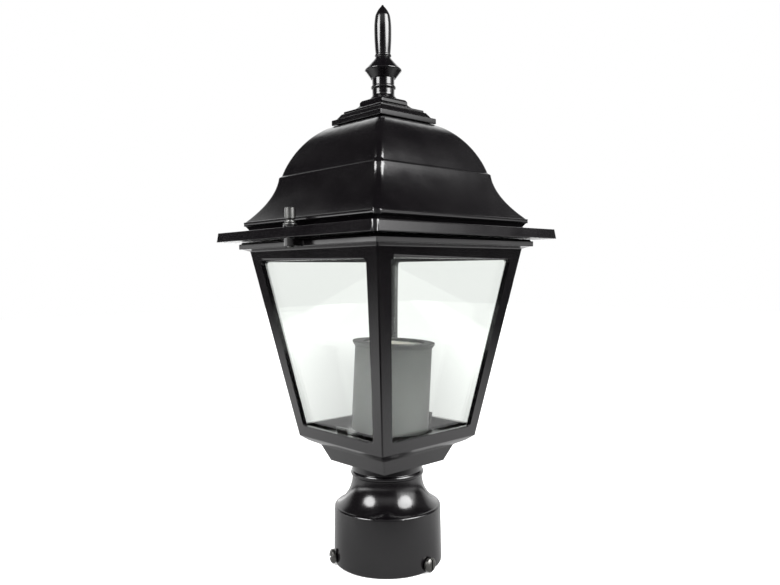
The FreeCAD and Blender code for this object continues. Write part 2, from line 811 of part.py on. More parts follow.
def make_nipple_set():
    nipple = dim.nipple_diameter / 2
    hole = nipple + dim.thread_clearance
    collar_ceiling = case_bottom_level - dim.neck_wall
    washer_level = collar_ceiling - dim.nipple_washer_thickness
    ring("nipple", nipple, dim.nipple_bore / 2, dim.nipple_length, nipple_bottom)
    ring("nipple_washer", dim.nipple_washer_diameter / 2, nipple + dim.hole_clearance,
         dim.nipple_washer_thickness, washer_level)
    corner = dim.nut_across_corners / 2
    hex_nut("nipple_lower_nut", corner, hole, dim.nut_height, washer_level - dim.nut_height)
    hex_nut("nipple_upper_nut", corner, hole, dim.nut_height, web_top_level)


# Lampholder, which leans and stands off the axis as the photograph shows it

lean_way = math.radians(dim.holder_lean_direction.number)
lean_vector = Vector(math.cos(lean_way), math.sin(lean_way), 0)
holder_foot = lean_vector * dim.holder_offset.number + Vector(0, 0, floor_level.number)
lean_axis = Vector(-lean_vector.y, lean_vector.x, 0)
holder_rotation = Rotation(lean_axis, dim.holder_lean.number) * turned(dim.holder_lean_direction.number)
holder_placement = Placement(holder_foot, holder_rotation)
holder_bottom = dim.bracket_height
holder_top = holder_bottom + dim.holder_height
holder_screw_place = (dim.bracket_span / 2 + dim.bracket_sheet
                      + dim.holder_screw_head_diameter / 2 + dim.seat_play)


def box(name, length, width, height, place):
    """A box whose own corner is at its lowest X, Y and Z."""
    made = part_object("Box", name, Length=length, Width=width, Height=height)
    made.Placement = place
    return made


def make_bracket():
    """A bent strap: a level web under the nut, two leaning legs and two flanges for the lampholder."""
    sheet_metal = dim.bracket_sheet
    half_span = dim.bracket_span / 2
    half_width = dim.bracket_width / 2
    web_half = half_span + sheet_metal
    leg_height = dim.bracket_height - dim.bracket_leg_start_height
    flat = Placement(holder_foot, turned(dim.holder_lean_direction.number))
    web_place = flat * at(-web_half, -half_width)
    parts = [box("bracket_web", web_half * 2, dim.bracket_width, sheet_metal, web_place)]
    for name, leg_side, flange_side in (
        ("low", -web_half, -web_half - dim.bracket_flange + sheet_metal),
        ("high", half_span, half_span),
    ):
        parts.append(box(f"bracket_leg_{name}", sheet_metal, dim.bracket_width, leg_height,
                         holder_placement * at(leg_side, -half_width, dim.bracket_leg_start_height)))
        parts.append(box(f"bracket_flange_{name}", dim.bracket_flange, dim.bracket_width, sheet_metal,
                         holder_placement * at(flange_side, -half_width, dim.bracket_height - sheet_metal)))
    blank = joined("bracket_blank", parts)
    nipple_hole = part_object("Cylinder", "bracket_nipple_hole",
                              Radius=dim.nipple_diameter / 2 + dim.hole_clearance, Height=sheet_metal * 2)
    nipple_hole.Placement = at(z=floor_level - sheet_metal / 2)
    drillings = [nipple_hole]
    for name, side in (("low", -1), ("high", 1)):
        hole = part_object("Cylinder", f"bracket_screw_hole_{name}",
                           Radius=dim.holder_screw_diameter / 2 + dim.seat_play, Height=sheet_metal * 2)
        hole_level = dim.bracket_height - sheet_metal * 1.5
        hole.Placement = holder_placement * at(side * holder_screw_place, 0, hole_level)
        drillings.append(hole)
    keep(cut("lampholder_bracket", blank, joined("bracket_drillings", drillings)))


def make_holder_screws():
    """Two screws that come up through the bracket's flanges into the lampholder."""
    screws = []
    for name, side in (("low", -1), ("high", 1)):
        screw = pan_screw(f"holder_screw_{name}", dim.holder_screw_diameter, dim.holder_screw_head_diameter,
                          dim.holder_screw_head_height, dim.holder_screw_length)
        upward = Rotation(Vector(1, 0, 0), 180)
        screw.Placement = holder_placement * at(
            side * holder_screw_place, 0, dim.bracket_height - dim.bracket_sheet, upward)
        screws.append(screw)
    keep(group("lampholder_screws", screws))


def make_holder_body():
    body = new_body("lampholder_body")
    radius = dim.holder_diameter / 2
    rim = dim.holder_rim_diameter / 2
    cavity = dim.lamp_thread_diameter / 2 + dim.shell_thickness + dim.seat_play
    floor = holder_top - dim.holder_cavity_depth
    neck_level = holder_top - dim.holder_rim_height
    revolved(body, "holder_turning", [
        (0, holder_bottom), (radius + dim.holder_foot_swell_width, holder_bottom),
        (radius, holder_bottom + dim.holder_foot_height),
        (radius, neck_level - dim.holder_rim_slope_height), (rim, neck_level), (rim, holder_top),
        (cavity, holder_top), (cavity, floor), (0, floor)])
    drilling = new_sketch(body, "holder_screw_hole_sketch", offset=holder_bottom)
    hole = dim.holder_screw_diameter / 2 + dim.thread_clearance
    circle(drilling, -holder_screw_place, 0, hole)
    circle(drilling, holder_screw_place, 0, hole)
    feature(body, "Pocket", "holder_screw_holes", drilling, Length=dim.holder_screw_length, Reversed=True)
    keep(body, holder_placement)


def make_screw_shell():
    inner = dim.lamp_thread_diameter / 2
    floor = holder_top - dim.holder_cavity_depth
    outer = inner + dim.shell_thickness
    outside = part_object("Cylinder", "shell_outside", Radius=outer, Height=dim.shell_length)
    bore = part_object("Cylinder", "shell_bore", Radius=inner, Height=dim.shell_length)
    keep(cut("lampholder_shell", outside, bore), holder_placement * at(z=floor))


def make_contact():
    """A springy strip on the lampholder's floor that rises under the lamp's tip."""
    body = new_body("lampholder_contact")
    half = dim.contact_length / 2
    thick = dim.contact_thickness
    floor = holder_top - dim.holder_cavity_depth
    rise = dim.contact_rise
    sketch = new_sketch(body, "contact_sketch", "XZ_Plane", offset=-dim.contact_width / 2)
    outline(sketch, [
        (-half, floor), (0, floor), (half / 2, floor + rise - thick), (half, floor + rise - thick),
        (half, floor + rise), (half / 2 - thick, floor + rise), (-thick, floor + thick),
        (-half, floor + thick)])
    feature(body, "Pad", "contact_strip", sketch, Length=dim.contact_width)
    keep(body, holder_placement)


def make_sleeve():
    """A tube round the lampholder, hung on its rim by an inward lip, with a flared mouth."""
    body = new_body("lampholder_sleeve")
    outer = dim.sleeve_diameter / 2
    inner = outer - dim.sleeve_wall
    rim = dim.sleeve_rim_diameter / 2
    mouth = dim.sleeve_mouth_diameter / 2
    top = holder_top + dim.sleeve_lip_thickness
    flare_top = top - dim.sleeve_rim_height
    revolved(body, "sleeve_turning", [
        (inner, dim.sleeve_foot_clearance), (outer, dim.sleeve_foot_clearance),
        (outer, flare_top - dim.sleeve_flare_height), (rim, flare_top), (rim, top),
        (mouth, top), (mouth, holder_top), (inner, holder_top)])
    keep(body, holder_placement)


# Roof

def dome_section(angle, inset=0.0):
    """Half side and level of the dome where its curve has turned by an angle from upright."""
    sine = math.sin(math.radians(angle))
    cosine = math.cos(math.radians(angle))
    half = dim.dome_base_half - dim.dome_taper_width * sine - dim.dome_round_width * (1 - cosine) - inset
    return half, dome_level + dim.dome_step_height + (dim.dome_height - inset) * sine


def skirt_section(share, inset=0.0):
    """Half side and level of the skirt, a share of its height below the dome."""
    top_half = dim.dome_base_half + dim.dome_step_width
    flare = lip_half + dim.skirt_foot_overhang_width - top_half - dim.skirt_lean_width
    half = top_half + dim.skirt_lean_width * share + flare * (share * share) - inset
    return half, dome_level - dim.skirt_height * share


DOME_ANGLES = (0, 18, 36, 52, 66, 78, 90)
SKIRT_SHARES = (1.0, 0.8, 0.55, 0.28, 0.0)


def make_roof():
    body = new_body("roof")
    corner = dim.dome_corner_radius
    wall = dim.roof_wall
    square_loft(body, "eave", [
        (dim.eave_half, eave_bottom_level), (dim.eave_half - dim.eave_draft_width, eave_top_level),
        (cove_half, cove_level)])
    square_loft(body, "cove", [(cove_half, cove_level), (cove_half, lip_level)])
    square_loft(body, "lip", [(lip_half, lip_level), (lip_half, skirt_level)], corner_radius=corner)
    square_loft(body, "skirt", [skirt_section(share) for share in SKIRT_SHARES],
                ruled=False, corner_radius=corner)
    square_loft(body, "dome_ledge", [skirt_section(0.0), dome_section(0)], corner_radius=corner)
    square_loft(body, "dome", [dome_section(angle) for angle in DOME_ANGLES],
                ruled=False, corner_radius=corner)
    level = crown_level
    for name, low, high, height in (
        ("crown_base", dim.crown_base_half, dim.crown_base_half, dim.crown_base_height),
        ("crown_slope", dim.crown_slope_half, dim.crown_slope_top_half, dim.crown_slope_height),
        ("crown_middle", dim.crown_middle_half, dim.crown_middle_half, dim.crown_middle_height),
        ("crown_shoulder", dim.crown_shoulder_half, dim.crown_shoulder_top_half, dim.crown_shoulder_height),
        ("crown_top", dim.crown_top_half, dim.crown_top_half, dim.crown_top_height),
        ("crown_cap", dim.crown_top_half, dim.crown_cap_half, dim.crown_cap_height),
    ):
        square_loft(body, name, [(low, level), (high, level + height)])
        level = level + height
    boss_foot_level = eave_bottom_level + dim.eave_height / 2
    boss = new_sketch(body, "thumb_boss_sketch", offset=boss_foot_level)
    for side in (-1, 1):
        circle(boss, 0, side * thumb_screw_distance, dim.thumb_boss_diameter / 2)
    feature(body, "Pad", "thumb_bosses", boss, Length=thumb_seat_level - boss_foot_level)

    # The roof is hollow up to the crown
    square_loft(body, "eave_hollow", [
        (cove_half - wall, eave_bottom_level), (cove_half - wall, lip_level)], kind="SubtractiveLoft")
    square_loft(body, "skirt_hollow", [
        (cove_half - wall, lip_level)] + [skirt_section(share, wall) for share in SKIRT_SHARES[1:]],
        kind="SubtractiveLoft")
    square_loft(body, "dome_hollow", [
        (dim.dome_base_half + dim.dome_step_width - wall, dome_level)]
        + [dome_section(angle, wall) for angle in DOME_ANGLES[1:]], kind="SubtractiveLoft")
    revolved(body, "crown_core", [
        (0, crown_level - wall * 2), (dim.crown_bore / 2, crown_level - wall * 2),
        (dim.crown_bore / 2, stud_ceiling), (0, stud_ceiling)], kind="Groove")
    stud_hole = new_sketch(body, "stud_hole_sketch", offset=crown_top_level)
    circle(stud_hole, 0, 0, dim.stud_diameter / 2 + dim.hole_clearance)
    feature(body, "Pocket", "stud_hole", stud_hole, Length=dim.crown_roof_thickness)
    thumb_hole = new_sketch(body, "thumb_hole_in_eave_sketch", offset=thumb_seat_level)
    for side in (-1, 1):
        circle(thumb_hole, 0, side * thumb_screw_distance, dim.thumb_screw_diameter / 2 + dim.hole_clearance)
    feature(body, "Pocket", "thumb_holes_in_eave", thumb_hole, Length=thumb_seat_level - eave_bottom_level)
    return keep(body)


crown_top_level = (crown_level + dim.crown_base_height + dim.crown_slope_height + dim.crown_middle_height
                   + dim.crown_shoulder_height + dim.crown_top_height + dim.crown_cap_height)
stud_ceiling = crown_top_level - dim.crown_roof_thickness
thumb_seat_level = eave_top_level + dim.eave_rise / 2 + dim.thumb_boss_rise


# Finial and its fixing

def make_finial():
    """A flared base, a ringed waist, a pointed bulb, a small collar and a spear, turned in one piece."""
    body = new_body("finial")
    base = crown_top_level
    waist = dim.finial_waist_radius
    bulb = dim.finial_bulb_radius
    ring_level = base + dim.finial_ring_level
    ring_half = dim.finial_ring_height / 2
    bulb_level = base + dim.finial_bulb_level
    bulb_edge = dim.finial_bulb_edge_height / 2
    bulb_foot_level = bulb_level - dim.finial_bulb_drop
    collar_level = base + dim.finial_collar_level
    collar_half = dim.finial_collar_height / 2
    tip = base + dim.finial_height
    stud = dim.stud_diameter / 2 + dim.thread_clearance
    depth = base + dim.stud_engagement
    root_radius = dim.finial_spear_root_radius
    flare_foot = dim.finial_base_radius - dim.finial_base_edge_width
    revolved(body, "finial_turning", [
        (stud, base),
        (dim.finial_base_radius, base),
        (flare_foot, base + dim.finial_base_height, -dim.finial_flare_radius),
        (waist, base + dim.finial_flare_level),
        (waist, ring_level - ring_half, dim.finial_ring_curve_radius),
        (waist, ring_level + ring_half),
        (waist, bulb_foot_level),
        (dim.finial_bulb_foot_radius, bulb_foot_level),
        (bulb, bulb_level - bulb_edge, dim.finial_bulb_edge_radius),
        (bulb, bulb_level + bulb_edge),
        (dim.finial_bulb_top_radius, bulb_level + dim.finial_bulb_rise),
        (root_radius, collar_level - collar_half - dim.finial_collar_foot_height),
        (root_radius, collar_level - collar_half, dim.finial_collar_edge_radius),
        (root_radius, collar_level + collar_half, dim.finial_spear_low_radius),
        (dim.finial_spear_radius, base + dim.finial_spear_widest_level, dim.finial_spear_high_radius),
        (root_radius, tip - dim.finial_point_height, dim.finial_point_radius),
        (dim.finial_tip_radius, tip - dim.finial_tip_radius, dim.finial_tip_radius),
        (0, tip),
        (0, depth),
        (stud, depth),
    ])
    keep(body)


def make_finial_fixing():
    stud = dim.stud_diameter / 2
    washer_level = stud_ceiling - dim.stud_washer_thickness
    nut_level = washer_level - dim.stud_nut_height
    rod_bottom = stud_ceiling - dim.stud_drop
    rod_top = crown_top_level + dim.stud_engagement - dim.running_gap
    rod = part_object("Cylinder", "finial_stud", Radius=stud, Height=rod_top - rod_bottom)
    rod.Label = "finial_stud"
    keep(rod, at(z=rod_bottom))
    ring("finial_washer", dim.stud_washer_diameter / 2, stud + dim.hole_clearance,
         dim.stud_washer_thickness, washer_level)
    hex_nut("finial_nut", dim.stud_nut_across_corners / 2, stud + dim.thread_clearance,
            dim.stud_nut_height, nut_level)


# Thumb screws and washers

def make_thumb_screws():
    shank = dim.thumb_screw_diameter / 2
    head = dim.thumb_head_diameter / 2
    flange = dim.thumb_flange_diameter / 2
    washer_top = thumb_seat_level + dim.thumb_washer_thickness
    seat = washer_top + dim.running_gap
    flange_top = seat + dim.thumb_flange_thickness
    neck_top = flange_top + dim.thumb_neck_height
    head_top = neck_top + dim.thumb_head_height
    chamfer = dim.thumb_head_chamfer
    tip = rim_bottom_level - dim.thumb_screw_tip
    for side, turn in SIDES[0::2]:
        place = Placement(Vector(0, 0, 0), turned(turn)) * at(y=-thumb_screw_distance)
        body = new_body(f"thumb_screw_{side}")
        revolved(body, f"thumb_screw_turning_{side}", [
            (0, tip), (shank - dim.thumb_tip_chamfer, tip), (shank, tip + dim.thumb_tip_chamfer), (shank, seat),
            (flange, seat),
            (flange, flange_top), (shank, flange_top), (shank, neck_top), (head - chamfer, neck_top),
            (head, neck_top + chamfer), (head, head_top - chamfer), (head - chamfer, head_top), (0, head_top)])
        keep(body, place)
        washer = dim.thumb_washer_diameter / 2
        outside = part_object("Cylinder", f"thumb_washer_outside_{side}", Radius=washer,
                              Height=dim.thumb_washer_thickness)
        bore = part_object("Cylinder", f"thumb_washer_bore_{side}", Radius=shank + dim.hole_clearance,
                           Height=dim.thumb_washer_thickness)
        keep(cut(f"thumb_washer_{side}", outside, bore), place * at(z=thumb_seat_level))


make_post_collar()
make_collar_screws()
make_frame()
make_panes()
make_bottom_clips()
make_top_clips()
make_clip_screws()
make_nipple_set()
make_bracket()
make_holder_screws()
make_holder_body()
make_screw_shell()
make_contact()
make_sleeve()
make_roof()
make_finial()
make_finial_fixing()
make_thumb_screws()
doc.recompute()

failed = [item.Label for item in doc.Objects if "Invalid" in item.State or "Error" in item.State]
if failed:
    raise RuntimeError(f"These failed: {failed}")
for piece in pieces:
    if piece.Shape.isNull() or not piece.Shape.isValid() or piece.Shape.Volume <= 0:
        raise RuntimeError(f"{piece.Label} has no valid solid")
for piece in pieces:
    piece.Shape.exportStep(f"parts/{piece.Label}.step")
    print(f"{piece.Label}: {len(piece.Shape.Solids)} solid, {piece.Shape.Volume:.0f} mm3")
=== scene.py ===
import json
import math

import bmesh
import bpy
from mathutils import Matrix, Vector


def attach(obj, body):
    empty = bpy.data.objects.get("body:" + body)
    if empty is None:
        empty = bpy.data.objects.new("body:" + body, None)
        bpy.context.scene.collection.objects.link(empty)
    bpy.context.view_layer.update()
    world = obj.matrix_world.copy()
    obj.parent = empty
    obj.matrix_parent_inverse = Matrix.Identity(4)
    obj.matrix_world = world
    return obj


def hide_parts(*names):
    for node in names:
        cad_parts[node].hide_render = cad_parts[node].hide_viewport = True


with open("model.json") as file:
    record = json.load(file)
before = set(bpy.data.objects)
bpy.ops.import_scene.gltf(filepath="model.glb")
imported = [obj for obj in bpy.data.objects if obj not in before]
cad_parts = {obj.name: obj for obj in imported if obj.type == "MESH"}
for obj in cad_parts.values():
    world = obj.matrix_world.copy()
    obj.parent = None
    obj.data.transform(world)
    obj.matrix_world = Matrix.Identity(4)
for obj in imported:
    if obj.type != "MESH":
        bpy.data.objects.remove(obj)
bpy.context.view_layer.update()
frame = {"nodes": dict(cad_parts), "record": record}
nodes = frame["nodes"]
scene = bpy.context.scene
scene.view_settings.view_transform = "Standard"

MM = 0.001


# Node helpers

def node(tree, kind, inputs=None, **settings):
    """A node with its input values or links, and its other settings."""
    made = tree.nodes.new(kind)
    for name, value in settings.items():
        setattr(made, name, value)
    for name, value in (inputs or {}).items():
        if isinstance(value, bpy.types.NodeSocket):
            tree.links.new(value, made.inputs[name])
        else:
            made.inputs[name].default_value = value
    return made


def colour(red, green, blue):
    return (red, green, blue, 1.0)


# A mix node has sockets for every type: 2 and 3 are its two numbers, 6 and 7 its two colours.

def mixed_colour(tree, share, first, second):
    """A first colour that gives way to a second one by a share."""
    return node(tree, "ShaderNodeMix", {0: share, 6: first, 7: second}, data_type="RGBA").outputs[2]


def mixed_number(tree, share, first, second):
    """A first number that gives way to a second one by a share."""
    return node(tree, "ShaderNodeMix", {0: share, 2: first, 3: second}, data_type="FLOAT").outputs[0]


def ranged(tree, value, low, high, to_low=0.0, to_high=1.0, smooth=False):
    """A value moved from one range to another, held at the ends."""
    kind = "SMOOTHSTEP" if smooth else "LINEAR"
    limits = {"Value": value, "From Min": low, "From Max": high, "To Min": to_low, "To Max": to_high}
    return node(tree, "ShaderNodeMapRange", limits, interpolation_type=kind).outputs["Result"]


def combined(tree, kind, first, *others):
    """Values added, multiplied or the like, one after another."""
    for value in others:
        first = node(tree, "ShaderNodeMath", {0: first, 1: value}, operation=kind).outputs[0]
    return first


def along(tree, where, way):
    """How far a place or direction lies along a way."""
    return node(tree, "ShaderNodeVectorMath", {0: where, 1: way}, operation="DOT_PRODUCT").outputs["Value"]


def length(tree, vector):
    """How long a vector is."""
    return node(tree, "ShaderNodeVectorMath", {0: vector}, operation="LENGTH").outputs["Value"]


def object_place(tree):
    return node(tree, "ShaderNodeTexCoord").outputs["Object"]


def noise(tree, where, scale, detail, roughness=0.5):
    return node(tree, "ShaderNodeTexNoise",
                {"Vector": where, "Scale": scale, "Detail": detail, "Roughness": roughness}).outputs["Fac"]


# Materials: each has a mottled colour, an uneven gloss and a fine relief

def new_group(name, inputs, outputs):
    """An empty node group with named sockets."""
    group = bpy.data.node_groups.new(name, "ShaderNodeTree")
    for in_out, sockets in (("INPUT", inputs), ("OUTPUT", outputs)):
        for label, kind in sockets:
            group.interface.new_socket(name=label, in_out=in_out, socket_type="NodeSocket" + kind)
    start = group.nodes.new("NodeGroupInput").outputs
    end = group.nodes.new("NodeGroupOutput").inputs
    return group, start, end


def surface_group():
    """Mottle mixes two colours and swells the relief, grain roughens it, and both vary the gloss."""
    group, given, result = new_group("uneven_surface", [
        ("Vector", "Vector"), ("Colour", "Color"), ("Second colour", "Color"), ("Mottle scale", "Float"),
        ("Grain scale", "Float"), ("Low roughness", "Float"), ("High roughness", "Float"), ("Swell", "Float"),
    ], [("Colour", "Color"), ("Roughness", "Float"), ("Height", "Float")])
    mottle = noise(group, given["Vector"], given["Mottle scale"], 4.0, 0.55)
    grain = noise(group, given["Vector"], given["Grain scale"], 2.0)
    share = ranged(group, mottle, 0.35, 0.65)
    unevenness = combined(group, "ADD", combined(group, "MULTIPLY", share, 0.7),
                          combined(group, "MULTIPLY", grain, 0.3))
    gloss = ranged(group, unevenness, 0.0, 1.0, given["Low roughness"], given["High roughness"])
    height = combined(group, "ADD", combined(group, "MULTIPLY", mottle, given["Swell"]), grain)
    group.links.new(mixed_colour(group, share, given["Colour"], given["Second colour"]), result["Colour"])
    group.links.new(gloss, result["Roughness"])
    group.links.new(height, result["Height"])
    return group


uneven_surface = surface_group()
by_slot = {}


def uneven_material(slot, first, second, roughness, bump, scales, swell=0.3, **shader):
    """A material slot's material, of two near colours. Bump is a strength and a depth in metres, scales
    are the mottle's and the grain's, and the shader's own plain values follow by name."""
    material = by_slot[slot] = bpy.data.materials.new(slot)
    material.use_nodes = True
    tree = material.node_tree
    principled = tree.nodes["Principled BSDF"]
    surface = node(tree, "ShaderNodeGroup", {
        "Vector": object_place(tree), "Colour": colour(*first), "Second colour": colour(*second),
        "Mottle scale": scales[0], "Grain scale": scales[1],
        "Low roughness": roughness[0], "High roughness": roughness[1], "Swell": swell,
    }, node_tree=uneven_surface).outputs
    relief = node(tree, "ShaderNodeBump", {
        "Strength": bump[0], "Distance": bump[1], "Height": surface["Height"]})
    tree.links.new(surface["Colour"], principled.inputs["Base Color"])
    tree.links.new(surface["Roughness"], principled.inputs["Roughness"])
    tree.links.new(relief.outputs["Normal"], principled.inputs["Normal"])
    for label, value in shader.items():
        principled.inputs[label.replace("_", " ")].default_value = value


uneven_material("black_enamel", (0.0020, 0.0016, 0.0021), (0.0030, 0.0025, 0.0030),
                roughness=(0.14, 0.21), bump=(0.045, 0.0003), scales=(45.0, 600.0), swell=2.6)
uneven_material("clear_glass", (0.98, 1.0, 0.98), (0.975, 0.995, 0.975),
                roughness=(0.0, 0.03), bump=(0.02, 0.0002), scales=(12.0, 60.0),
                IOR=1.45, Transmission_Weight=1.0)
uneven_material("zinc_steel", (0.135, 0.135, 0.132), (0.105, 0.105, 0.102),
                roughness=(0.30, 0.44), bump=(0.15, 0.0002), scales=(180.0, 1500.0), Metallic=1.0)
uneven_material("dark_steel", (0.13, 0.128, 0.122), (0.09, 0.088, 0.084),
                roughness=(0.28, 0.40), bump=(0.2, 0.0002), scales=(220.0, 1500.0), Metallic=1.0)
uneven_material("white_ceramic", (0.82, 0.81, 0.77), (0.76, 0.75, 0.70),
                roughness=(0.12, 0.22), bump=(0.08, 0.0003), scales=(90.0, 500.0))
uneven_material("contact_brass", (0.72, 0.53, 0.24), (0.60, 0.42, 0.18),
                roughness=(0.25, 0.4), bump=(0.15, 0.0002), scales=(150.0, 1200.0), Metallic=1.0)
uneven_material("grey_sleeve", (0.082, 0.086, 0.081), (0.095, 0.099, 0.093),
                roughness=(0.55, 0.68), bump=(0.18, 0.0003), scales=(50.0, 1100.0))
for part in frame["record"]["subparts"]:
    for material_slot in nodes[part["node"]].material_slots:
        material_slot.material = by_slot[part["material_slot"]]


# Shaping helpers. Sizes are in mm and angles in degrees.

CAD_JOIN = 0.001      # points of a CAD mesh nearer than this are one point
FLAT_ANGLE = 0.5      # faces that turn by less than this are one face
FINE_JOIN = 0.005     # points of a finished piece nearer than this are one point
SHADING_ANGLE = 38.0  # edges that turn by more than this are shaded sharp
FACED = 25.0          # edges to soften on cast and cut pieces turn by more than this
TURNED = 35.0         # and by more than this on round pieces, whose facets stay as they are
RECESS_WIDTH = 0.55   # of a cross recess's arms
CORE_CUT = 0.61       # a thread's core lies this share of the pitch inside its shank
RIDGE_HEIGHT = 0.75   # and its ridge is this share of the pitch tall


def at(x, y, z):
    return Matrix.Translation((x * MM, y * MM, z * MM))


def turned(angle, axis):
    return Matrix.Rotation(math.radians(angle), 4, axis)


def level(vertex):
    """A point's height in mm."""
    return vertex.co.z / MM


def near(value, target, margin):
    return abs(value - target) < margin


def merged_copy(name):
    """The shape of a CAD piece, with its split triangles merged back into clean faces."""
    bm = bmesh.new()
    bm.from_mesh(nodes[name].data)
    bmesh.ops.remove_doubles(bm, verts=bm.verts, dist=CAD_JOIN * MM)
    bmesh.ops.dissolve_limit(bm, angle_limit=math.radians(FLAT_ANGLE), verts=bm.verts, edges=bm.edges)
    return bm


def crisp_edges(bm, angle, shortest=0.0):
    """The edges that turn by more than an angle and are longer than a length."""
    return [edge for edge in bm.edges if edge.is_manifold
            and edge.calc_face_angle() > math.radians(angle) and edge.calc_length() > shortest * MM]


def soften(bm, width, edges, segments=3):
    """Round the edges, as casting, tumbling and enamel do."""
    bmesh.ops.bevel(bm, geom=edges, offset=width * MM, offset_type="OFFSET", segments=segments,
                    profile=0.5, affect="EDGES", clamp_overlap=False, material=-1)


def placed(bm, name, slot, body, hidden):
    """A finished piece that rides on a body, in the place of the CAD pieces it hides."""
    bmesh.ops.remove_doubles(bm, verts=bm.verts, dist=FINE_JOIN * MM)
    bmesh.ops.dissolve_degenerate(bm, dist=FINE_JOIN * MM, edges=bm.edges)
    bmesh.ops.recalc_face_normals(bm, faces=bm.faces)
    for face in bm.faces:
        face.smooth = True
    mesh = bpy.data.meshes.new(name)
    bm.to_mesh(mesh)
    bm.free()
    mesh.set_sharp_from_angle(angle=math.radians(SHADING_ANGLE))
    mesh.materials.append(by_slot[slot])
    made = bpy.data.objects.new(name, mesh)
    scene.collection.objects.link(made)
    shading = made.modifiers.new("shading", "WEIGHTED_NORMAL")
    shading.keep_sharp = True
    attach(made, body)
    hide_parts(*hidden)


def softened(cad_name, name, slot, body, width, angle=TURNED, segments=2):
    """A piece that is its CAD shape with soft edges."""
    bm = merged_copy(cad_name)
    soften(bm, width, crisp_edges(bm, angle), segments)
    placed(bm, name, slot, body, [cad_name])


def in_frame(bm, place, shaping, *values, **settings):
    """Shape a piece while a place's own Z axis is the upright one, and put it back."""
    bmesh.ops.transform(bm, matrix=place.inverted(), verts=bm.verts)
    shaping(bm, *values, **settings)
    bmesh.ops.transform(bm, matrix=place, verts=bm.verts)


def wind_ridge(bm, radius, depth, pitch, low, high, steps=24, rolled=False):
    """A thread's ridge, wound up the upright axis between two levels. A cut ridge has three corners, with
    its tip at the radius; a rolled one is round, with its middle there. Either fills just under a pitch,
    so that its turns don't touch."""
    if rolled:
        corners, size, reach, middle = 10, pitch / 2.2, depth, radius
    else:
        corners, size, reach, middle = 3, pitch / 1.8, depth / 1.5, radius - depth / 1.5
    stand = Matrix(((0, reach * MM, 0, middle * MM), (0, 0, 1, 0),
                    (size * MM, 0, 0, (low + size) * MM), (0, 0, 0, 1)))
    before = set(bm.verts)
    ring = bmesh.ops.create_circle(bm, cap_ends=True, segments=corners, radius=1.0, matrix=stand)["verts"]
    faces = list({face for vertex in ring for face in vertex.link_faces})
    edges = list({edge for vertex in ring for edge in vertex.link_edges})
    count = int(steps * (high - low - 2 * size) / pitch)
    bmesh.ops.spin(bm, geom=ring + edges + faces, cent=(0, 0, 0), axis=(0, 0, 1),
                   dvec=(0, 0, pitch * MM / steps), angle=math.tau * count / steps, steps=count,
                   use_duplicate=False)
    open_edges = [edge for edge in bm.edges if edge.is_boundary and edge.verts[0] not in before]
    bmesh.ops.holes_fill(bm, edges=open_edges, sides=corners)


def cut_thread(bm, diameter, pitch, low, high):
    """Slim an upright screw's shank to its thread's core and wind the ridge round it."""
    core = diameter / 2 - CORE_CUT * pitch
    for vertex in bm.verts:
        away = vertex.co.xy.length / MM
        if near(away, diameter / 2, 0.03) and low - 0.01 < level(vertex) < high + 0.01:
            vertex.co.xy *= core / away
    wind_ridge(bm, diameter / 2, RIDGE_HEIGHT * pitch, pitch, low, high)


def threaded(bm, width, place, diameter, pitch, low, high):
    """Soften a screw's edges and cut its thread, at levels that are counted along the place's Z axis."""
    soften(bm, width, crisp_edges(bm, TURNED), 2)
    in_frame(bm, place, cut_thread, diameter, pitch, low, high)


def cut_away(bm, cutter):
    """A shape less another one."""
    solids = []
    for shape, label in ((bm, "kept"), (cutter, "cutter")):
        mesh = bpy.data.meshes.new(label)
        shape.to_mesh(mesh)
        shape.free()
        solids.append(bpy.data.objects.new(label, mesh))
        scene.collection.objects.link(solids[-1])
    kept, tool = solids
    cutting = kept.modifiers.new("cutting", "BOOLEAN")
    cutting.operation, cutting.object, cutting.use_self = "DIFFERENCE", tool, True
    result = bpy.data.meshes.new_from_object(kept.evaluated_get(bpy.context.evaluated_depsgraph_get()))
    made = bmesh.new()
    made.from_mesh(result)
    for used in solids:
        mesh = used.data
        bpy.data.objects.remove(used)
        bpy.data.meshes.remove(mesh)
    bpy.data.meshes.remove(result)
    return made


def cross_slots(places, span, depth, height):
    """Cutters for cross recesses. The height is that of a head, above its place."""
    bm = bmesh.new()
    for place in places:
        for turn in (0, 90):
            shape = (place @ at(0, 0, height) @ turned(turn, "Z")
                     @ Matrix.Diagonal((span * MM, RECESS_WIDTH * MM, depth * 2 * MM, 1)))
            bmesh.ops.create_cube(bm, size=1.0, matrix=shape)
    return bm


def cross_recessed(cad_name, name, places, span, depth, height, foot):
    """A group of 3 mm screws. Each place is under a head, with its Z axis up out of it."""
    screws = cut_away(merged_copy(cad_name), cross_slots(places, span, depth, height))
    for place in places:
        in_frame(screws, place, wind_ridge, radius=1.52, depth=0.2, pitch=0.5, low=foot, high=-0.05, steps=16)
    placed(screws, name, "zinc_steel", "lantern", [cad_name])


# Roof casting. The cove's top and the lip reach further out in the photo than in the solids.

EAVE_BOTTOM, EAVE_TOP, LIP_BOTTOM, LIP_TOP, DOME_STEP = 210.4, 216.4, 220.7, 223.2, 252.2
COVE_TOP_HALF, COVE_TOP_HALF_SEEN = 63.6, 65.4
LIP_HALF, LIP_HALF_SEEN = 66.2, 67.3
LIP_SQUARE = 62.0    # half the side of the square that carries the lip's rounded corners
EAVE_CORNER = 70.0   # the eave's corners lie further out than this both ways
STEP_REACH = 1.3     # the dome step's edges lie within this of its level
SHORTEST_CAST = 1.2  # shorter edges of the square castings stay crisp


def lip_reach(vertex):
    """How far a point of the roof lies outside the lip's square, in mm."""
    beyond = [max(abs(value) / MM - LIP_SQUARE, 0.0) for value in vertex.co.xy]
    return math.hypot(*beyond)


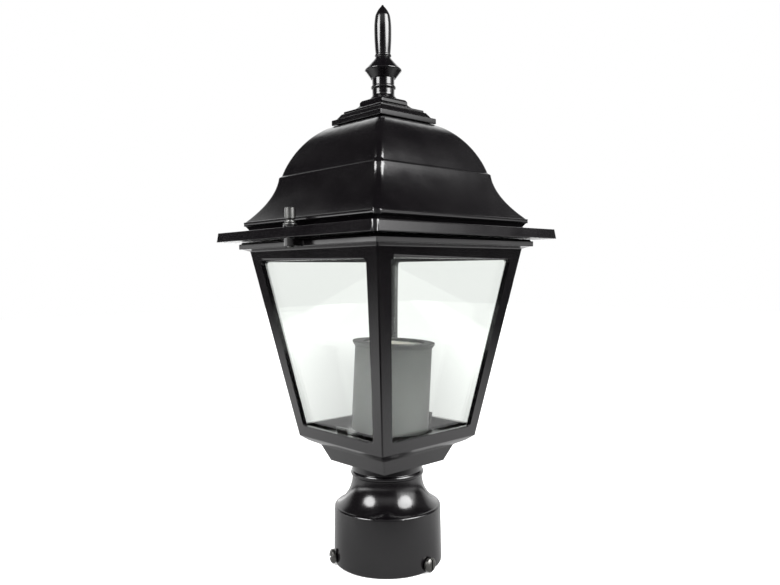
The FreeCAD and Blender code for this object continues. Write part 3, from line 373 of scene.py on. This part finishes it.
roof = merged_copy("roof")
for vertex in roof.verts:
    half = max(abs(vertex.co.x), abs(vertex.co.y)) / MM
    at_bottom, at_top = [near(level(vertex), lip_level, 0.05) for lip_level in (LIP_BOTTOM, LIP_TOP)]
    if at_bottom and near(half, COVE_TOP_HALF, 0.05):
        vertex.co.xy *= COVE_TOP_HALF_SEEN / COVE_TOP_HALF
    if (at_bottom or at_top) and near(lip_reach(vertex), LIP_HALF - LIP_SQUARE, 0.1):
        vertex.co.xy *= LIP_HALF_SEEN / LIP_HALF
eave_corners = [edge for edge in crisp_edges(roof, FACED, shortest=4.0)
                if {round(level(vertex), 1) for vertex in edge.verts} == {EAVE_BOTTOM, EAVE_TOP}
                and min(abs(edge.verts[0].co.x), abs(edge.verts[0].co.y)) > EAVE_CORNER * MM]
soften(roof, 3.0, eave_corners, 6)
lip_edges = [edge for edge in crisp_edges(roof, FACED)
             if all(round(level(vertex), 1) in (LIP_BOTTOM, LIP_TOP) for vertex in edge.verts)
             and near(level(edge.verts[0]), level(edge.verts[1]), 0.1)
             and all(near(lip_reach(vertex), LIP_HALF_SEEN - LIP_SQUARE, 0.3) for vertex in edge.verts)]
soften(roof, 0.7, lip_edges)
step_edges = [edge for edge in crisp_edges(roof, FACED, SHORTEST_CAST)
              if all(near(level(vertex), DOME_STEP, STEP_REACH) for vertex in edge.verts)]
soften(roof, 0.2, step_edges, 4)
soften(roof, 0.5, crisp_edges(roof, FACED, SHORTEST_CAST))
placed(roof, "roof_casting", "black_enamel", "roof_cap", ["roof"])


# Lantern casting, with a wider round along the top of each window's outside

WINDOW_TOP = 197.2
WINDOW_OUTSIDE = 60.5  # the outer edges lie further than this from the axis, the inner ones nearer

lantern = merged_copy("lantern_frame")
window_heads = [edge for edge in crisp_edges(lantern, FACED, shortest=20.0)
                if all(near(level(vertex), WINDOW_TOP, 0.1) for vertex in edge.verts)
                and max(abs(sum(vertex.co[axis] for vertex in edge.verts)) / 2
                        for axis in (0, 1)) > WINDOW_OUTSIDE * MM]
soften(lantern, 1.9, window_heads, 4)
soften(lantern, 0.5, crisp_edges(lantern, FACED, SHORTEST_CAST))
placed(lantern, "lantern_frame_casting", "black_enamel", "lantern", ["lantern_frame"])


# Round castings, glass and clips

softened("post_collar", "post_collar_casting", "black_enamel", "lantern", 0.25, segments=3)
softened("finial", "finial_turning", "black_enamel", "roof_cap", 0.25, segments=3)
for side in ("front", "right", "back", "left"):
    softened(f"glass_pane_{side}", f"glass_{side}", "clear_glass", "lantern", 0.35, FACED)
    softened(f"top_clip_{side}", f"sprung_top_clip_{side}", "zinc_steel", "lantern", 0.15, FACED)
for side in ("front", "back"):
    softened(f"bottom_clip_{side}", f"sprung_bottom_clip_{side}", "zinc_steel", "lantern", 0.15, FACED)


# Screws. The thumb screws' heads reach further down in the photo than in the solids.

HEAD_FOOT = (222.8, 223.7)  # the foot of a thumb screw's head lies between these levels
HEAD_DROP = 1.9
COLLAR_SCREW_BEARING = 3    # of the first one; the others follow by thirds of a turn
COLLAR_SCREW_LEVEL = 5.2

for side, y in (("front", -75.0), ("back", 75.0)):
    screw = merged_copy(f"thumb_screw_{side}")
    for vertex in screw.verts:
        if HEAD_FOOT[0] < level(vertex) < HEAD_FOOT[1]:
            vertex.co.z -= HEAD_DROP * MM
    threaded(screw, 0.12, at(0, y, 0), diameter=4.0, pitch=0.7, low=204.9, high=217.5)
    placed(screw, f"thumb_screw_turning_{side}", "zinc_steel", f"thumb_screw_{side}", [f"thumb_screw_{side}"])
    softened(f"thumb_washer_{side}", f"pressed_washer_{side}", "zinc_steel", "roof_cap", 0.15)

for number in (1, 2, 3):
    bearing = COLLAR_SCREW_BEARING + 120 * (number - 1)
    outward = turned(bearing, "Z") @ at(0, 0, COLLAR_SCREW_LEVEL) @ turned(90, "Y")
    screw = merged_copy(f"collar_screw_{number}")
    threaded(screw, 0.15, outward, diameter=5.0, pitch=0.8, low=30.85, high=36.0)
    placed(screw, f"slotted_screw_{number}", "dark_steel", f"collar_screw_{number}", [f"collar_screw_{number}"])

bottom_clip_heads = [turned(turn, "Z") @ at(0, -31.08, 86.0) for turn in (0, 180)]
top_clip_heads = [turned(turn, "Z") @ at(0, -55.0, 207.1) @ turned(-90, "X") for turn in (0, 90, 180, 270)]
cross_recessed("clip_screws", "cross_recessed_clip_screws", bottom_clip_heads + top_clip_heads,
               span=2.7, depth=0.9, height=1.8, foot=-5.0)

nipple = merged_copy("nipple")
threaded(nipple, 0.3, at(0, 0, 0), diameter=10.0, pitch=1.0, low=68.3, high=91.7)
placed(nipple, "threaded_nipple", "zinc_steel", "lantern", ["nipple"])
stud = merged_copy("finial_stud")
threaded(stud, 0.3, at(0, 0, 0), diameter=6.0, pitch=1.0, low=286.8, high=313.4)
placed(stud, "threaded_stud", "zinc_steel", "roof_cap", ["finial_stud"])


# Nuts, washers and the lampholder, which stands a little off the axis and leans the same way

HOLDER_WAY, HOLDER_OFFSET, HOLDER_LEVEL, HOLDER_LEAN = 47, 2.07, 85, 3.06
HOLDER_SCREW_APART = 18.1  # how far each screw stands from the holder's own axis
HOLDER_SCREW_LEVEL = 13.0  # over the holder's foot; the heads bear there from below

for name, label, slot, body, width in (
    ("nipple_washer", "plain_nipple_washer", "zinc_steel", "lantern", 0.2),
    ("nipple_lower_nut", "chamfered_lower_nut", "zinc_steel", "lantern", 0.5),
    ("nipple_upper_nut", "chamfered_upper_nut", "zinc_steel", "lantern", 0.5),
    ("finial_washer", "plain_stud_washer", "zinc_steel", "roof_cap", 0.2),
    ("finial_nut", "chamfered_stud_nut", "zinc_steel", "roof_cap", 0.4),
    ("lampholder_bracket", "bent_bracket", "zinc_steel", "lantern", 0.3),
    ("lampholder_body", "glazed_lampholder", "white_ceramic", "lantern", 0.5),
    ("lampholder_contact", "sprung_contact", "contact_brass", "lantern", 0.1),
    ("lampholder_sleeve", "flared_sleeve", "grey_sleeve", "lantern", 0.25),
):
    softened(name, label, slot, body, width)

way_x, way_y = math.cos(math.radians(HOLDER_WAY)), math.sin(math.radians(HOLDER_WAY))
holder_foot = (at(HOLDER_OFFSET * way_x, HOLDER_OFFSET * way_y, HOLDER_LEVEL)
               @ turned(HOLDER_LEAN, Vector((-way_y, way_x, 0))))

shell = merged_copy("lampholder_shell")
soften(shell, 0.2, crisp_edges(shell, TURNED), 2)
in_frame(shell, holder_foot, wind_ridge, radius=13.45, depth=0.55, pitch=3.6, low=28.3, high=54.7,
         steps=36, rolled=True)
placed(shell, "rolled_screw_shell", "contact_brass", "lantern", ["lampholder_shell"])

holder_heads = [holder_foot @ turned(HOLDER_WAY, "Z") @ at(side * HOLDER_SCREW_APART, 0, HOLDER_SCREW_LEVEL)
                @ turned(180, "X") for side in (-1, 1)]
cross_recessed("lampholder_screws", "cross_recessed_holder_screws", holder_heads,
               span=2.6, depth=1.0, height=2.0, foot=-8.0)


# Camera, set as the photograph's. Its place is in metres.

CAMERA_PLACE = (0.3462, -0.3165, 0.1892)
CAMERA_BEARING, CAMERA_TILT, CAMERA_ROLL = 47.196, 88.42, -0.56
TO_CAMERA = -42.44            # the way from the lantern to the camera, in degrees from X
FRONT = (0.735, -0.678, 0.0)  # about the same way, as a direction
RIGHT = (0.678, 0.735, 0.0)   # the level way to the camera's right

camera_data = bpy.data.cameras.new("camera")
camera_data.sensor_width = 36.0
camera_data.lens = 32.86
camera_data.clip_start = 0.01
camera = bpy.data.objects.new("camera", camera_data)
scene.collection.objects.link(camera)
camera.matrix_world = (Matrix.Translation(CAMERA_PLACE) @ turned(CAMERA_BEARING, "Z")
                       @ turned(CAMERA_TILT, "X") @ turned(CAMERA_ROLL, "Z"))
scene.camera = camera


# Room: a pale floor, a white backdrop and soft studio light

def seen_directly(tree):
    """Two masks: for rays from the eye, also through glass, and for mirrored rays. Light that falls on
    things is in neither."""
    rays = node(tree, "ShaderNodeLightPath").outputs
    direct = combined(tree, "MAXIMUM", rays["Is Camera Ray"], rays["Is Transmission Ray"])
    return direct, rays["Is Glossy Ray"]


def patch(tree, *ramps):
    """A soft-edged patch of the room, as a product of ramps. A ramp is a value, the two ends of its range
    and what it comes to there, 0 and 1 if nothing is said."""
    return combined(tree, "MULTIPLY", *[ranged(tree, *ramp, smooth=True) for ramp in ramps])


world = bpy.data.worlds.new("studio")
scene.world = world
world.use_nodes = True
tree = world.node_tree
direct, mirrored = seen_directly(tree)
where = node(tree, "ShaderNodeTexCoord").outputs["Generated"]
height = node(tree, "ShaderNodeSeparateXYZ", {0: where}).outputs["Z"]
rightward = along(tree, where, RIGHT)
frontward = along(tree, where, FRONT)

# What the enamel mirrors above the horizon: a window at the camera's right, and pale walls
window = patch(tree, (frontward, -0.10, 0.12, 0.15, 4.3), (rightward, 0.35, 0.75),
               (height, 0.76, 0.58, 0.06, 1.0), (height, 0.17, 0.23, 0.3, 1.0))
backdrop = patch(tree, (frontward, -0.40, -0.78, 0.0, 1.35), (height, 0.60, 0.45))
far_wall = patch(tree, (frontward, -0.62, -0.80, 0.0, 1.5), (height, 0.85, 0.70))
near_wall = patch(tree, (frontward, 0.5, 0.85, 0.0, 0.8), (height, 0.35, 0.55))
walls = combined(tree, "MAXIMUM", backdrop, far_wall, near_wall)
above = combined(tree, "ADD", combined(tree, "MAXIMUM", window, walls), 0.03)

# And at the horizon: a band that is brightest at the camera's left, dim behind the camera, and dimmed
# again in a gap that lies a little beyond the lantern
beside = combined(tree, "MAXIMUM", patch(tree, (frontward, -0.26, -0.08, 0.45, 1.6)),
                  patch(tree, (frontward, -0.35, -0.60, 0.45, 1.1)))
horizon = patch(tree, (rightward, -0.6, 0.6, 3.1, 1.1), (frontward, 0.75, 0.35, 0.25, 1.0))
horizon = combined(tree, "MULTIPLY", horizon, beside)
low_down = patch(tree, (height, 0.05, 0.10, 1.0, 0.0))

glow = mixed_number(tree, low_down, above, horizon)
glow = node(tree, "ShaderNodeCombineColor", {0: glow, 1: glow, 2: glow}).outputs["Color"]
lit = mixed_colour(tree, mirrored, colour(0.5, 0.5, 0.5), glow)
tree.links.new(mixed_colour(tree, direct, lit, colour(1.0, 1.0, 1.0)), tree.nodes["Background"].inputs["Color"])

floor_mesh = bpy.data.meshes.new("floor")
bm = bmesh.new()
bmesh.ops.create_grid(bm, x_segments=1, y_segments=1, size=3.0)
bm.to_mesh(floor_mesh)
bm.free()
floor = bpy.data.objects.new("floor", floor_mesh)
scene.collection.objects.link(floor)

# The floor glows white to the eye, a painted glow that is weaker near the lantern. Where the enamel mirrors it,
# a painted pool of light lies round the foot, with painted shade right at the foot.
pale = bpy.data.materials.new("pale_floor")
pale.use_nodes = True
tree = pale.node_tree
direct, mirrored = seen_directly(tree)
where = object_place(tree)
sideward = along(tree, where, RIGHT)
toward = along(tree, where, FRONT)
squeezed = combined(tree, "MULTIPLY", combined(tree, "MAXIMUM", toward, 0.0), 2.7)
oval = length(tree, node(tree, "ShaderNodeCombineXYZ", {0: sideward, 1: squeezed}).outputs[0])
oval = combined(tree, "ADD", oval, combined(tree, "MULTIPLY", sideward, 0.12))
# Painted pool of light, seen only in the enamel: a painted shadow right at the foot, brightest a little way
# out, fading far off, and dimmer towards the camera
painted_pool = combined(
    tree, "MULTIPLY", mirrored, ranged(tree, oval, 0.03, 0.24, 0.6, 1.4),
    ranged(tree, oval, 0.30, 0.62, 1.0, 0.07), ranged(tree, toward, 0.03, 0.09, 1.0, 0.62))
# Painted glow seen by the eye: weaker near the lantern, stronger far away
painted_floor_glow = combined(tree, "MULTIPLY", direct, ranged(tree, length(tree, where), 0.4, 1.6, 0.5, 1.1))
paint = tree.nodes["Principled BSDF"].inputs
paint["Roughness"].default_value = 0.9
paint["Specular IOR Level"].default_value = 0.0
paint["Emission Color"].default_value = colour(1.0, 1.0, 1.0)
tree.links.new(combined(tree, "MAXIMUM", painted_floor_glow, painted_pool), paint["Emission Strength"])
shade = mixed_colour(tree, mirrored, colour(0.82, 0.82, 0.82), colour(0.0, 0.0, 0.0))
tree.links.new(shade, paint["Base Color"])
floor_mesh.materials.append(pale)

LANTERN_MIDDLE = Vector((0.0, 0.0, 0.15))
SOFTBOX_AWAY = 1.1


def softbox(name, azimuth, elevation, size, power):
    """A round light that faces the lantern. Azimuth is counted from the camera, to its right."""
    data = bpy.data.lights.new(name, "AREA")
    data.shape = "ELLIPSE"
    data.size, data.size_y = size, size
    data.energy = power
    turn = math.radians(TO_CAMERA + azimuth)
    rise = math.radians(elevation)
    way = Vector((math.cos(turn) * math.cos(rise), math.sin(turn) * math.cos(rise), math.sin(rise)))
    light = bpy.data.objects.new(name, data)
    scene.collection.objects.link(light)
    light.matrix_world = (Matrix.Translation(LANTERN_MIDDLE + way * SOFTBOX_AWAY)
                          @ way.to_track_quat("Z", "Y").to_matrix().to_4x4())


softbox("right_softbox", 57.0, 34.0, 0.76, 22.5)
softbox("left_softbox", -57.0, 31.0, 0.60, 16.5)
